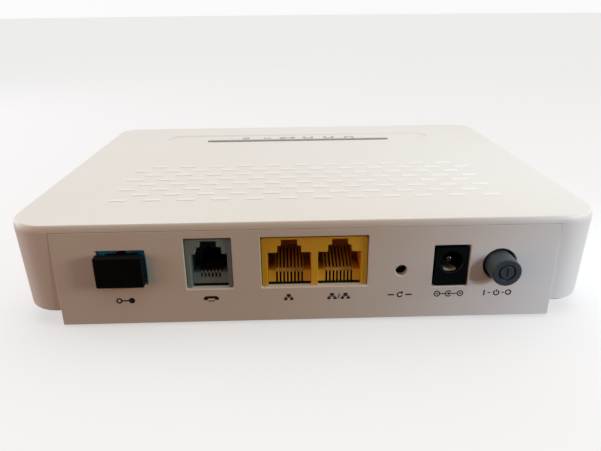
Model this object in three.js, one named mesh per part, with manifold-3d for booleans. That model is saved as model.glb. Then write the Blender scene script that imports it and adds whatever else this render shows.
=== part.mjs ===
// Optical network terminal: a desktop box with a fibre port, a telephone port, two network ports,
// a reset switch behind a pinhole, a power inlet and a latching power button.
// Millimetres. +X is to the right when facing the ports, +Y runs from the ports to the far edge, +Z is up.
// Sub-parts are laid out with Y = 0 on the port panel's outer face and Z = 0 on the surface that the feet
// stand on; the exported group then moves the middle of the whole footprint to the origin.

import * as THREE from "three";
import { mergeVertices } from "three/addons/utils/BufferGeometryUtils.js";
import Module from "manifold-3d";

const wasm = await Module();
wasm.setup();

// ---------- Driving dimensions ----------

const WIDTH = 163.6;
const DEPTH = 126.4;
const FOOT_PROUD = 0.8; // how far the rubber feet stand below the base
const BASE_Z = FOOT_PROUD; // underside of the base
const TOP_Z = BASE_Z + 30;
const SEAM_Z = TOP_Z - 1.95; // lower edge of the lid
const SEAM_GAP = 0.12;
const WALL = 2;
const CORNER_PORT_SIDE = 11.5;
const CORNER_FAR_SIDE = 8;
const SIDE_DRAFT = Math.tan(THREE.MathUtils.degToRad(2.3));

const PEDESTAL_HEIGHT = 4;
const PEDESTAL_HALF_WIDTH = 69.2;
const PEDESTAL_DEPTH = 113.7;
const PANEL_THICKNESS = 2.2;
const PANEL_CLEARANCE = 0.05;

const BOARD_TOP = BASE_Z + 9.8;
const BOARD_THICKNESS = 1.6;
const BOARD = { left: -60, right: 60, front: 3, back: 104 };

const FIBRE = { x: -50.95, z: BASE_Z + 17.2 }; // axis of the fibre port
const PHONE_X = -27.15;
const NETWORK_X = 1.95; // middle of the double network jack
const NETWORK_PITCH = 13.97;
const RESET = { x: 26.05, z: BASE_Z + 14.8 };
const INLET = { x: 40, z: BASE_Z + 16.9 };
const BUTTON = { x: 53.4, z: BASE_Z + 16.2 };
const BUTTON_PROUD = 5.6;
const BUTTON_RADIUS = 3.9;
const BUTTON_TRAVEL = 2.2;

const LAMP_COUNT = 6;
const LAMP_PITCH = 9.1;
const LAMP_Y = 99.4;
const LENS_WIDTH = 1.7;

const SCREW_X = 64.2;
const SCREW_Y = [17, 104];
const FOOT_X = 55.5;
const FOOT_Y = [11, 104];
const FOOT_RADIUS = 5;
const BOARD_SCREWS = [[-16.9, 11], [-52, 92], [52, 92]];

// ---------- Shapes and solids ----------

// A closed geometry as a solid that can be joined and cut.
function solid(geometry) {
  const bare = geometry.clone();
  bare.deleteAttribute("normal");
  bare.deleteAttribute("uv");
  const merged = mergeVertices(bare, 1e-4);
  return new wasm.Manifold(new wasm.Mesh({
    numProp: 3,
    vertProperties: merged.attributes.position.array,
    triVerts: merged.index.array,
  }));
}

function geometryOf(made) {
  const { vertProperties, triVerts } = made.getMesh();
  const geometry = new THREE.BufferGeometry();
  geometry.setAttribute("position", new THREE.BufferAttribute(vertProperties, 3));
  geometry.setIndex(new THREE.BufferAttribute(triVerts, 1));
  geometry.computeVertexNormals();
  return geometry;
}

const joined = (parts) => parts.reduce((sum, part) => sum.add(part));
const cutFrom = (body, tools) => tools.reduce((left, tool) => left.subtract(tool), body);

function block([x0, x1], [y0, y1], [z0, z1]) {
  const box = new THREE.BoxGeometry(x1 - x0, y1 - y0, z1 - z0);
  return solid(box.translate((x0 + x1) / 2, (y0 + y1) / 2, (z0 + z1) / 2));
}

// A block given by its centre on X, its front in Y and its bottom in Z.
function blockAt(x, y, z, width, depth, height) {
  return block([x - width / 2, x + width / 2], [y, y + depth], [z, z + height]);
}

function rodY(x, z, radius, [y0, y1], sides = 24) {
  const rod = new THREE.CylinderGeometry(radius, radius, y1 - y0, sides);
  return solid(rod.translate(x, (y0 + y1) / 2, z));
}

function rodZ(x, y, radius, [z0, z1], sides = 20) {
  const rod = new THREE.CylinderGeometry(radius, radius, z1 - z0, sides).rotateX(Math.PI / 2);
  return solid(rod.translate(x, y, (z0 + z1) / 2));
}

// A profile of [radius, depth] pairs turned about the Y direction: depth 0 is at y, facing the user.
function turnedY(x, y, z, profile, sides = 32) {
  const points = profile.map(([radius, depth]) => new THREE.Vector2(radius, depth));
  return solid(new THREE.LatheGeometry(points, sides).translate(x, y, z));
}

// Corner points of a rectangle with round corners, counterclockwise from above.
function roundedOutline(halfWidth, y0, y1, nearRadius, farRadius, steps = 6) {
  const corners = [
    { x: halfWidth - nearRadius, y: y0 + nearRadius, r: nearRadius, from: -Math.PI / 2 },
    { x: halfWidth - farRadius, y: y1 - farRadius, r: farRadius, from: 0 },
    { x: farRadius - halfWidth, y: y1 - farRadius, r: farRadius, from: Math.PI / 2 },
    { x: nearRadius - halfWidth, y: y0 + nearRadius, r: nearRadius, from: Math.PI },
  ];
  return corners.flatMap(({ x, y, r, from }) =>
    Array.from({ length: steps + 1 }, (_, i) => {
      const angle = from + (i / steps) * (Math.PI / 2);
      return new THREE.Vector2(x + r * Math.cos(angle), y + r * Math.sin(angle));
    }));
}

// A closed solid through outlines with equal point counts, given as [{ z, outline }] from the bottom up.
function loft(sections) {
  const positions = [];
  const push = (point, z) => positions.push(point.x, point.y, z);
  for (let level = 0; level + 1 < sections.length; level++) {
    const low = sections[level];
    const high = sections[level + 1];
    low.outline.forEach((a, i) => {
      const b = low.outline[(i + 1) % low.outline.length];
      const c = high.outline[(i + 1) % low.outline.length];
      const d = high.outline[i];
      push(a, low.z), push(b, low.z), push(c, high.z);
      push(a, low.z), push(c, high.z), push(d, high.z);
    });
  }
  const bottom = sections[0];
  const top = sections[sections.length - 1];
  for (const [i, j, k] of THREE.ShapeUtils.triangulateShape(bottom.outline, [])) {
    push(bottom.outline[k], bottom.z), push(bottom.outline[j], bottom.z), push(bottom.outline[i], bottom.z);
    push(top.outline[i], top.z), push(top.outline[j], top.z), push(top.outline[k], top.z);
  }
  const geometry = new THREE.BufferGeometry();
  geometry.setAttribute("position", new THREE.Float32BufferAttribute(positions, 3));
  return solid(geometry);
}

// The outer outline of the housing, moved inwards by inset.
function housingOutline(inset) {
  const nearRadius = Math.max(CORNER_PORT_SIDE - inset, 1);
  const farRadius = Math.max(CORNER_FAR_SIDE - inset, 1);
  return roundedOutline(WIDTH / 2 - inset, inset, DEPTH - inset, nearRadius, farRadius);
}

// How far the tapered side wall has moved inwards at height z.
const taper = (z) => (SEAM_Z - z) * SIDE_DRAFT;

const mirrored = (make) => [-1, 1].map(make);
const fourCorners = (x, ys, make) => ys.flatMap((y) => mirrored((side) => make(side * x, y)));

// ---------- Materials ----------

const paint = (color, roughness, metalness = 0) =>
  new THREE.MeshStandardMaterial({ color, roughness, metalness });

const MATERIAL = {
  shell: paint(0xe9e6de, 0.38),
  panel: paint(0xe7e3da, 0.42),
  lightGuide: paint(0x9a9c9b, 0.3),
  rubber: paint(0x2b2b2c, 0.85),
  screwSteel: paint(0x8c8f92, 0.35, 1),
  board: paint(0x1c5a38, 0.5),
  yellow: paint(0xe0ad17, 0.42),
  greyJack: paint(0x6d706c, 0.5),
  blue: paint(0x0e6ba0, 0.4),
  contact: paint(0xc8a758, 0.3, 1),
  steel: paint(0xb9bcc0, 0.3, 1),
  cap: paint(0x101112, 0.55),
  blackPlastic: paint(0x151618, 0.5),
  button: paint(0x4a5359, 0.5),
  switchBody: paint(0xd9d6cc, 0.5),
  chip: paint(0x1d1e20, 0.55),
  heatsink: paint(0x33363a, 0.45, 1),
  ceramic: paint(0xe4e0d4, 0.35),
  sleeve: paint(0x2e4f9a, 0.4),
};

// ---------- Casing ----------

function topCover() {
  const roof = loft([
    { z: SEAM_Z, outline: housingOutline(0) },
    { z: TOP_Z - 0.8, outline: housingOutline(0) },
    { z: TOP_Z - 0.2, outline: housingOutline(0.25) },
    { z: TOP_Z, outline: housingOutline(0.85) },
  ]);
  const lipDepth = 2.2;
  const lipOuter = loft([
    { z: SEAM_Z - lipDepth, outline: housingOutline(WALL + 0.4) },
    { z: SEAM_Z + 0.2, outline: housingOutline(WALL + 0.4) },
  ]);
  const lipInner = loft([
    { z: SEAM_Z - lipDepth - 1, outline: housingOutline(WALL + 1.6) },
    { z: SEAM_Z, outline: housingOutline(WALL + 1.6) },
  ]);
  const posts = fourCorners(SCREW_X, SCREW_Y, (x, y) => rodZ(x, y, 3, [BASE_Z + 12.3, SEAM_Z + 0.2]));
  const pilots = fourCorners(SCREW_X, SCREW_Y, (x, y) => rodZ(x, y, 1.55, [BASE_Z, BASE_Z + 23], 12));
  const lampHollow = loft([
    { z: TOP_Z - 0.4, outline: lampHollowOutline(0.8) },
    { z: TOP_Z + 0.4, outline: lampHollowOutline(-0.8) },
  ]);
  const slotWidth = LENS_WIDTH + 0.3;
  const slotLength = LAMP_COUNT * LAMP_PITCH + 24.2;
  const lampSlot = blockAt(0, LAMP_Y - slotWidth / 2, SEAM_Z - 1, slotLength, slotWidth, 5);
  const body = roof.add(lipOuter.subtract(lipInner)).add(joined(posts));
  return cutFrom(body, [...pilots, lampHollow, lampSlot]);
}

// The shallow tray around the lamps: wider at the far side of the lid.
function lampHollowOutline(inset) {
  const near = { y: 93.2 + inset, half: 51.5 - inset };
  const far = { y: 109.6 - inset, half: 57 - inset };
  return [
    new THREE.Vector2(-near.half, near.y),
    new THREE.Vector2(near.half, near.y),
    new THREE.Vector2(far.half, far.y - 5),
    new THREE.Vector2(far.half - 2, far.y),
    new THREE.Vector2(-far.half + 2, far.y),
    new THREE.Vector2(-far.half, far.y - 5),
  ];
}

function bottomCase() {
  const shellBottom = BASE_Z + PEDESTAL_HEIGHT;
  const edgeRadius = 0.5;
  const edge = [0, 30, 60].map((degrees) => {
    const angle = THREE.MathUtils.degToRad(degrees);
    const z = shellBottom + edgeRadius * (1 - Math.cos(angle));
    return { z, outline: housingOutline(taper(z) + edgeRadius * (1 - Math.sin(angle))) };
  });
  const sideBottom = shellBottom + edgeRadius;
  const rim = SEAM_Z - SEAM_GAP;
  const outer = loft([
    ...edge,
    { z: sideBottom, outline: housingOutline(taper(sideBottom)) },
    { z: rim, outline: housingOutline(taper(rim)) },
  ]);
  const floor = shellBottom + WALL;
  const inner = loft([
    { z: floor, outline: housingOutline(taper(floor) + WALL) },
    { z: SEAM_Z + 1, outline: housingOutline(WALL) },
  ]);
  const pedestalOutline = (inset) =>
    roundedOutline(PEDESTAL_HALF_WIDTH - inset, inset, PEDESTAL_DEPTH - inset, 0.5, 8 - inset);
  const pedestal = loft([
    { z: BASE_Z, outline: pedestalOutline(0) },
    { z: shellBottom + 1, outline: pedestalOutline(0) },
  ]);
  const pedestalInner = loft([
    { z: BASE_Z + WALL, outline: pedestalOutline(WALL) },
    { z: floor + 1, outline: pedestalOutline(WALL) },
  ]);
  const jambs = mirrored((side) => blockAt(side * 69, 1.6, shellBottom + 0.5, 5, 2.6, 20));
  const sill = block([-67.5, 67.5], [2.3, 3.8], [BASE_Z + 0.5, BASE_Z + 4.5]);
  const bosses = fourCorners(SCREW_X, SCREW_Y, (x, y) => rodZ(x, y, 3.8, [BASE_Z + 0.1, BASE_Z + 12]));
  const standoffs = BOARD_SCREWS.map(([x, y]) =>
    rodZ(x, y, 3, [BASE_Z + 1, BOARD_TOP - BOARD_THICKNESS]));
  const panelSlot = block(
    [-PEDESTAL_HALF_WIDTH - PANEL_CLEARANCE, PEDESTAL_HALF_WIDTH + PANEL_CLEARANCE],
    [-1, PANEL_THICKNESS + PANEL_CLEARANCE],
    [-1, TOP_Z],
  );
  const portOpening = block([-66.5, 66.5], [-1, 4.5], [BASE_Z + 4.5, TOP_Z]);
  const hollow = cutFrom(outer.add(pedestal), [inner, pedestalInner, portOpening]);
  const fitted = joined([hollow, ...jambs, sill, ...bosses, ...standoffs]);
  return cutFrom(fitted, [
    panelSlot,
    ...fourCorners(SCREW_X, SCREW_Y, (x, y) => rodZ(x, y, 3.1, [-1, BASE_Z + 3])),
    ...fourCorners(SCREW_X, SCREW_Y, (x, y) => rodZ(x, y, 1.6, [-1, BASE_Z + 13], 12)),
    ...fourCorners(FOOT_X, FOOT_Y, (x, y) => rodZ(x, y, FOOT_RADIUS + 0.15, [-1, BASE_Z + 0.6])),
    ...BOARD_SCREWS.map(([x, y]) => rodZ(x, y, 1.4, [BASE_Z + 3.5, BOARD_TOP], 12)),
    ...vents(),
    ...keyholes(),
  ]);
}

// Two banks of cooling slots through the base.
function vents() {
  const count = 9;
  const pitch = 5;
  return mirrored((side) => Array.from({ length: count }, (_, i) =>
    blockAt(side * 27, 42 + i * pitch, -1, 34, 2, 5))).flat();
}

// Two keyhole slots in the base, for hanging the box on wall screws.
function keyholes() {
  return mirrored((side) => {
    const head = rodZ(side * 42, 27, 4, [-1, 4]);
    const neck = blockAt(side * 42, 20, -1, 4.2, 7, 5);
    return head.add(neck);
  });
}

function rearPanel() {
  const plate = block(
    [-PEDESTAL_HALF_WIDTH, PEDESTAL_HALF_WIDTH],
    [0, PANEL_THICKNESS],
    [BASE_Z, SEAM_Z - SEAM_GAP],
  );
  const through = [-1, PANEL_THICKNESS + 1];
  const cutBottom = BASE_Z + 9.6;
  return cutFrom(plate, [
    block([FIBRE.x - 6.8, FIBRE.x + 6.8], through, [BASE_Z + 12.1, BASE_Z + 22.5]),
    block([PHONE_X - 6.5, PHONE_X + 6.5], through, [cutBottom, BASE_Z + 25.6]),
    block([NETWORK_X - 14.8, NETWORK_X + 14.8], through, [cutBottom, BASE_Z + 25.6]),
    rodY(RESET.x, RESET.z, 1.65, through),
    block([INLET.x - 5.2, INLET.x + 4.9], through, [cutBottom, BASE_Z + 22.2]),
    rodY(BUTTON.x, BUTTON.z, 4.65, through, 40),
  ]);
}

function foot(x, y) {
  const profile = [[0, 0], [FOOT_RADIUS - 0.5, 0], [FOOT_RADIUS, 0.5], [FOOT_RADIUS, 1.3], [0, 1.3]];
  const points = profile.map(([radius, height]) => new THREE.Vector2(radius, height));
  return solid(new THREE.LatheGeometry(points, 24).rotateX(Math.PI / 2).translate(x, y, 0));
}

function caseScrew(x, y) {
  const head = rodZ(x, y, 2.75, [BASE_Z + 1, BASE_Z + 2.9], 16);
  const shank = rodZ(x, y, 1.3, [BASE_Z + 2.5, BASE_Z + 21], 12);
  const recess = [0, 90].map((degrees) =>
    solid(new THREE.BoxGeometry(3, 0.7, 2)
      .rotateZ(THREE.MathUtils.degToRad(degrees))
      .translate(x, y, BASE_Z + 1)));
  return cutFrom(head.add(shank), recess);
}

function lightGuide() {
  const length = LAMP_COUNT * LAMP_PITCH + 23.6;
  const barBottom = SEAM_Z - 0.6;
  const bar = blockAt(0, LAMP_Y - LENS_WIDTH / 2, barBottom, length, LENS_WIDTH, TOP_Z - 0.4 - barBottom);
  const flange = blockAt(0, LAMP_Y - 1.6, SEAM_Z - 1.5, length, 3.2, 1.3);
  const legs = lampPlaces().map((x) => blockAt(x, LAMP_Y - 1.1, BOARD_TOP + 1.4, 2.4, 2.2, 16));
  return joined([bar, flange, ...legs]);
}

const lampPlaces = () =>
  Array.from({ length: LAMP_COUNT }, (_, i) => (i - (LAMP_COUNT - 1) / 2) * LAMP_PITCH);

// ---------- Circuit board and what stands on it ----------

function mainBoard() {
  const board = block([BOARD.left, BOARD.right], [BOARD.front, BOARD.back],
    [BOARD_TOP - BOARD_THICKNESS, BOARD_TOP]);
  const holes = BOARD_SCREWS.map(([x, y]) => rodZ(x, y, 1.7, [0, BOARD_TOP + 1], 12));
  return cutFrom(board, holes);
}

function boardScrew(x, y) {
  const head = rodZ(x, y, 2.6, [BOARD_TOP, BOARD_TOP + 1.8], 16);
  const shank = rodZ(x, y, 1.2, [BASE_Z + 4.2, BOARD_TOP + 0.2], 12);
  return head.add(shank);
}

const JACK = { front: 0.9, bottom: BOARD_TOP, top: BASE_Z + 25 };

// The stepped mouth of a modular jack: the plug's body, and above it the two steps of its latch.
function jackMouth(x, { width, stepWidth, notchWidth, depth }) {
  const mouth = (halfWidth, top) =>
    block([x - halfWidth, x + halfWidth], [0, JACK.front + depth], [JACK.bottom + 1.5, top]);
  const gate = block([x - width / 2, x + width / 2], [0, JACK.front + 2.2], [0, JACK.bottom + 4]);
  const shadowSlot = block([x - width / 2, x + width / 2], [0, JACK.front + 4], [JACK.bottom + 0.4, 14]);
  return joined([
    mouth(width / 2, BASE_Z + 20.6),
    mouth(stepWidth / 2, BASE_Z + 22.65),
    mouth(notchWidth / 2, BASE_Z + 24.4),
    gate,
    shadowSlot,
  ]);
}

const CONTACT_PITCH = 1.016;
const NETWORK_MOUTH = { width: 12.1, stepWidth: 6.6, notchWidth: 4.5, depth: 13.5, contacts: 8 };
const PHONE_MOUTH = { width: 10.2, stepWidth: 7.2, notchWidth: 4.6, depth: 12.5, contacts: 6 };
const networkPorts = mirrored((side) => NETWORK_X + (side * NETWORK_PITCH) / 2);

function networkJack() {
  const body = blockAt(NETWORK_X, JACK.front, JACK.bottom, 29.2, 15.8, JACK.top - JACK.bottom);
  return cutFrom(body, networkPorts.map((x) => jackMouth(x, NETWORK_MOUTH)));
}

function phoneJack() {
  const body = blockAt(PHONE_X, JACK.front, JACK.bottom, 12.6, 14.8, JACK.top - JACK.bottom);
  return cutFrom(body, [jackMouth(PHONE_X, PHONE_MOUTH)]);
}

// A slotted comb at the mouth, a block at the back, and spring wires rising from one to the other.
function jackContacts(x, { width, depth, contacts }) {
  const bottom = BASE_Z + 11.9;
  const combTop = BASE_Z + 14.1;
  const backTop = BASE_Z + 18.6;
  const combFront = JACK.front + 2.2;
  const combBack = combFront + 4.5;
  const backFace = JACK.front + depth - 0.1;
  const halfWidth = width / 2 - 0.1;
  const span = [x - halfWidth, x + halfWidth];
  const comb = block(span, [combFront, combBack], [bottom, combTop]);
  const apron = block(span, [combFront, combFront + 1.6], [bottom - 1.2, bottom + 0.2]);
  const tray = block(span, [combBack - 0.5, backFace], [bottom, bottom + 0.8]);
  const back = block(span, [backFace - 1.6, backFace], [bottom, backTop]);
  const places = Array.from({ length: contacts }, (_, i) => x + (i - (contacts - 1) / 2) * CONTACT_PITCH);
  const slots = places.map((place) => blockAt(place, combFront - 1, bottom - 2, 0.6, 3.2, 5));
  const start = new THREE.Vector2(combFront + 2.8, combTop - 0.5);
  const end = new THREE.Vector2(backFace - 1, backTop - 1.4);
  const middle = start.clone().lerp(end, 0.5);
  const slope = end.clone().sub(start).angle();
  const wires = places.map((place) =>
    solid(new THREE.BoxGeometry(0.42, start.distanceTo(end), 0.36)
      .rotateX(slope)
      .translate(place, middle.x, middle.y)));
  return joined([cutFrom(comb.add(apron), slots), tray, back, ...wires]);
}

function fibreReceptacle() {
  const front = 1.9;
  const body = blockAt(FIBRE.x, front, FIBRE.z - 4.6, 12.8, 17.5, 9.2);
  const ears = blockAt(FIBRE.x, 8, FIBRE.z - 3.2, 16.6, 2.2, 6.4);
  const legs = mirrored((side) => blockAt(FIBRE.x + side * 4.9, 9, BOARD_TOP, 2.4, 9, 3));
  const mouth = blockAt(FIBRE.x, front - 1, FIBRE.z - 3.75, 9.2, 13.5, 7.5);
  const keyway = blockAt(FIBRE.x, front - 1, FIBRE.z + 3, 2.2, 10, 3);
  const bore = rodY(FIBRE.x, FIBRE.z, 2.5, [front + 10, front + 18], 20);
  return cutFrom(joined([body, ears, ...legs]), [mouth, keyway, bore]);
}

// The alignment sleeve in the middle of the fibre port.
function ferruleSleeve() {
  return rodY(FIBRE.x, FIBRE.z, 2.2, [6.5, 19], 20).subtract(rodY(FIBRE.x, FIBRE.z, 1.3, [5, 17], 16));
}

// Laser and receiver cans behind the fibre port, standing on their leads.
function opticalModule() {
  const barrel = rodY(FIBRE.x, FIBRE.z, 3.4, [19.8, 27], 24);
  const laserCan = rodY(FIBRE.x, FIBRE.z, 2.7, [26.5, 31.5], 20);
  const receiverCan = solid(new THREE.CylinderGeometry(2.3, 2.3, 6, 20)
    .rotateZ(Math.PI / 2)
    .translate(FIBRE.x + 4.4, 23.4, FIBRE.z));
  const leads = [-1.2, 1.2].flatMap((offset) => [
    blockAt(FIBRE.x + offset, 31, FIBRE.z - 0.25, 0.5, 3, 0.5),
    blockAt(FIBRE.x + offset, 33.5, BOARD_TOP, 0.5, 0.5, FIBRE.z + 0.25 - BOARD_TOP),
  ]);
  return joined([barrel, laserCan, receiverCan, ...leads]);
}

function dustCap() {
  const flange = blockAt(FIBRE.x, -3, FIBRE.z - 4.5, 12.9, 2.7, 9);
  const stem = blockAt(FIBRE.x, -0.5, FIBRE.z - 3.4, 8.5, 10, 6.8);
  const key = blockAt(FIBRE.x, 1, FIBRE.z + 3.2, 1.6, 8, 1);
  const hollow = rodY(FIBRE.x, FIBRE.z, 2.9, [2, 11], 20);
  return cutFrom(joined([flange, stem, key]), [hollow]);
}

function inletBody() {
  const body = blockAt(INLET.x, 0.65, BOARD_TOP, 9, 13.8, 11.5);
  const bore = rodY(INLET.x, INLET.z, 3.15, [0, 11], 28);
  const springSlot = blockAt(INLET.x, 3, INLET.z - 4.4, 3.4, 12.5, 2.2);
  const pinHole = rodY(INLET.x, INLET.z, 1.3, [10, 16], 16);
  return cutFrom(body, [bore, springSlot, pinHole]);
}

function inletPin() {
  const profile = [[0, 0], [0.6, 0], [1.05, 0.5], [1.05, 12], [0, 12]];
  return turnedY(INLET.x, 2.6, INLET.z, profile, 16);
}

function inletSpring() {
  const strip = blockAt(INLET.x, 3.4, INLET.z - 4.1, 2.8, 11.6, 0.4);
  const crown = solid(new THREE.BoxGeometry(2.8, 3.2, 0.4)
    .rotateX(0.35)
    .translate(INLET.x, 5, INLET.z - 3.35));
  return strip.add(crown);
}

const STEM = { front: 2.4, back: 15.8, size: 3 };

function switchBody() {
  const body = blockAt(BUTTON.x, 12, BOARD_TOP, 9, 12.5, 10.4);
  const guideSize = STEM.size + 0.8;
  const guideDepth = STEM.back + BUTTON_TRAVEL + 0.5 - 11;
  return body.subtract(blockAt(BUTTON.x, 11, BUTTON.z - guideSize / 2, guideSize, guideDepth, guideSize));
}

function switchStem() {
  const { front, back, size } = STEM;
  return blockAt(BUTTON.x, front, BUTTON.z - size / 2, size, back - front, size);
}

function powerButton() {
  const edge = 0.5;
  const length = BUTTON_PROUD + 8.4;
  const profile = [
    [0, 0],
    [BUTTON_RADIUS - edge, 0],
    [BUTTON_RADIUS - edge * 0.3, edge * 0.3],
    [BUTTON_RADIUS, edge],
    [BUTTON_RADIUS, length],
    [0, length],
  ];
  const cap = turnedY(BUTTON.x, -BUTTON_PROUD, BUTTON.z, profile, 40);
  const faceDepth = 0.3;
  const markBack = -BUTTON_PROUD + faceDepth;
  const ring = rodY(BUTTON.x, BUTTON.z, 2.35, [-BUTTON_PROUD - 1, markBack], 32)
    .subtract(rodY(BUTTON.x, BUTTON.z, 1.95, [-BUTTON_PROUD - 2, markBack + 1], 32));
  const bar = blockAt(BUTTON.x, -BUTTON_PROUD - 1, BUTTON.z - 1.2, 0.4, 1 + faceDepth, 2.4);
  const socket = blockAt(BUTTON.x, 2, BUTTON.z - 1.8, 3.6, 8, 3.6);
  return cutFrom(cap, [ring, bar, socket]);
}

function resetSwitchBody() {
  const body = blockAt(RESET.x, 7, BOARD_TOP, 6.2, 3.6, 8.2);
  return body.subtract(rodY(RESET.x, RESET.z, 1.9, [6, 8.4], 20));
}

function resetPlunger() {
  return turnedY(RESET.x, 4.4, RESET.z, [[0, 0], [1.3, 0], [1.6, 0.3], [1.6, 3.4], [0, 3.4]], 20);
}

function heatsink() {
  const base = blockAt(-8, 46, BOARD_TOP + 1.7, 26, 26, 10);
  const gaps = Array.from({ length: 6 }, (_, i) => blockAt(-18 + i * 4, 45, BOARD_TOP + 3.7, 2.6, 28, 9));
  return cutFrom(base, gaps);
}

function shieldCan() {
  const can = blockAt(-46, 42, BOARD_TOP, 22, 18, 3.4);
  return can.subtract(blockAt(-46, 42.5, BOARD_TOP - 1, 21, 17, 4));
}

function capacitor(x, y, radius, height) {
  const body = rodZ(x, y, radius, [BOARD_TOP + 0.4, BOARD_TOP + height], 20);
  const seat = rodZ(x, y, radius * 0.85, [BOARD_TOP, BOARD_TOP + 0.6], 20);
  return body.add(seat);
}

function inductor(x, y) {
  const core = blockAt(x, y, BOARD_TOP, 7, 7, 1);
  const winding = rodZ(x, y + 3.5, 3, [BOARD_TOP + 0.8, BOARD_TOP + 3.2], 20);
  const lid = rodZ(x, y + 3.5, 3.5, [BOARD_TOP + 3, BOARD_TOP + 4], 20);
  return joined([core, winding, lid]);
}

function crystal() {
  const ends = mirrored((side) => rodZ(-30 + side * 3.2, 84, 2.2, [BOARD_TOP, BOARD_TOP + 3.4], 16));
  return joined([...ends, blockAt(-30, 81.8, BOARD_TOP, 6.4, 4.4, 3.4)]);
}

const chip = (x, y, width, depth, height) => blockAt(x, y, BOARD_TOP, width, depth, height);

// ---------- Assembly ----------

const terminal = new THREE.Group();
terminal.name = "optical_network_terminal";

function add(name, made, material) {
  const mesh = new THREE.Mesh(geometryOf(made), material.clone());
  mesh.name = name;
  terminal.add(mesh);
}

add("top_cover", topCover(), MATERIAL.shell);
add("bottom_case", bottomCase(), MATERIAL.shell);
add("rear_panel", rearPanel(), MATERIAL.panel);
add("light_guide", lightGuide(), MATERIAL.lightGuide);
fourCorners(FOOT_X, FOOT_Y, foot).forEach((made, i) => add(`foot_${i + 1}`, made, MATERIAL.rubber));
fourCorners(SCREW_X, SCREW_Y, caseScrew).forEach((made, i) =>
  add(`case_screw_${i + 1}`, made, MATERIAL.screwSteel));

add("main_board", mainBoard(), MATERIAL.board);
BOARD_SCREWS.forEach(([x, y], i) => add(`board_screw_${i + 1}`, boardScrew(x, y), MATERIAL.screwSteel));

add("network_jack", networkJack(), MATERIAL.yellow);
networkPorts.forEach((x, i) =>
  add(`network_contacts_${i + 1}`, jackContacts(x, NETWORK_MOUTH), MATERIAL.contact));
add("phone_jack", phoneJack(), MATERIAL.greyJack);
add("phone_contacts", jackContacts(PHONE_X, PHONE_MOUTH), MATERIAL.contact);

add("fibre_receptacle", fibreReceptacle(), MATERIAL.blue);
add("ferrule_sleeve", ferruleSleeve(), MATERIAL.ceramic);
add("optical_module", opticalModule(), MATERIAL.steel);
add("dust_cap", dustCap(), MATERIAL.cap);

add("inlet_body", inletBody(), MATERIAL.blackPlastic);
add("inlet_pin", inletPin(), MATERIAL.steel);
add("inlet_spring", inletSpring(), MATERIAL.contact);

add("power_switch", switchBody(), MATERIAL.switchBody);
add("switch_stem", switchStem(), MATERIAL.ceramic);
add("power_button", powerButton(), MATERIAL.button);
add("reset_switch", resetSwitchBody(), MATERIAL.blackPlastic);
add("reset_plunger", resetPlunger(), MATERIAL.ceramic);

add("main_processor", chip(-8, 50, 17, 17, 1.4), MATERIAL.chip);
add("heatsink", heatsink(), MATERIAL.heatsink);
add("memory_chip", chip(16, 52, 9, 13, 1.2), MATERIAL.chip);
add("flash_chip", chip(16, 72, 8, 6, 1), MATERIAL.chip);
add("optical_driver_chip", chip(-46, 47, 6, 6, 1), MATERIAL.chip);
add("shield_can", shieldCan(), MATERIAL.steel);
add("phone_line_chip", chip(-27, 26, 8, 8, 1), MATERIAL.chip);
networkPorts.forEach((x, i) =>
  add(`network_transformer_${i + 1}`, chip(x, 21, 11, 10, 5.4), MATERIAL.chip));
add("capacitor_1", capacitor(36, 26, 4, 12), MATERIAL.sleeve);
add("capacitor_2", capacitor(47, 32, 4, 12), MATERIAL.sleeve);
add("capacitor_3", capacitor(38, 40, 3.15, 8), MATERIAL.sleeve);
add("inductor_1", inductor(28, 34), MATERIAL.chip);
add("inductor_2", inductor(50, 42), MATERIAL.chip);
add("crystal", crystal(), MATERIAL.steel);
lampPlaces().forEach((x, i) =>
  add(`lamp_${i + 1}`, chip(x, LAMP_Y - 0.8, 2, 1.6, 0.9), MATERIAL.ceramic));

terminal.position.y = (BUTTON_PROUD - DEPTH) / 2;

export default terminal;
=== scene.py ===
import math

import bmesh
import bpy
from mathutils import Matrix, Vector
from mathutils.geometry import tessellate_polygon


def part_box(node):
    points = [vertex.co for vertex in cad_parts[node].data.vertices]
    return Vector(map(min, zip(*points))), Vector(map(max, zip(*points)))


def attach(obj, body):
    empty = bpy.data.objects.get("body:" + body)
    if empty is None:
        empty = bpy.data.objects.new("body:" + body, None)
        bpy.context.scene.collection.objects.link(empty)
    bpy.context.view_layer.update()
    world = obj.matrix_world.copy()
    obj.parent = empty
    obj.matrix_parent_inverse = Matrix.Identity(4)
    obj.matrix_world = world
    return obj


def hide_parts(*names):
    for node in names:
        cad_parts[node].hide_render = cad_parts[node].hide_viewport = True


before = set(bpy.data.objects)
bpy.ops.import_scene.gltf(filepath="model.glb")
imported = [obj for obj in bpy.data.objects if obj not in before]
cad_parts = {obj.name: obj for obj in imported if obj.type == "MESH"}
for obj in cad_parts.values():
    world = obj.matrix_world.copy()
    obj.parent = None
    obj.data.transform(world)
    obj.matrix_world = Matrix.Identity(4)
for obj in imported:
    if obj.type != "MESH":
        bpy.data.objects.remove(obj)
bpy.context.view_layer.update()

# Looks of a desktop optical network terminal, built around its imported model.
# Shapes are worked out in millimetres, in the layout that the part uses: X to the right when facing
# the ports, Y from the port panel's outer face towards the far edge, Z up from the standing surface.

# ---------- Places, from the frame ----------

MM = 0.001
PORT_FACE_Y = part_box("rear_panel")[0].y / MM


def box_mm(node):
    """Lowest and highest corner of a CAD node, in the layout's millimetres."""
    shift = Vector((0, PORT_FACE_Y, 0))
    return tuple(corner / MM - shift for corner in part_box(node))


def middle(node):
    low, high = box_mm(node)
    return (low + high) / 2


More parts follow.
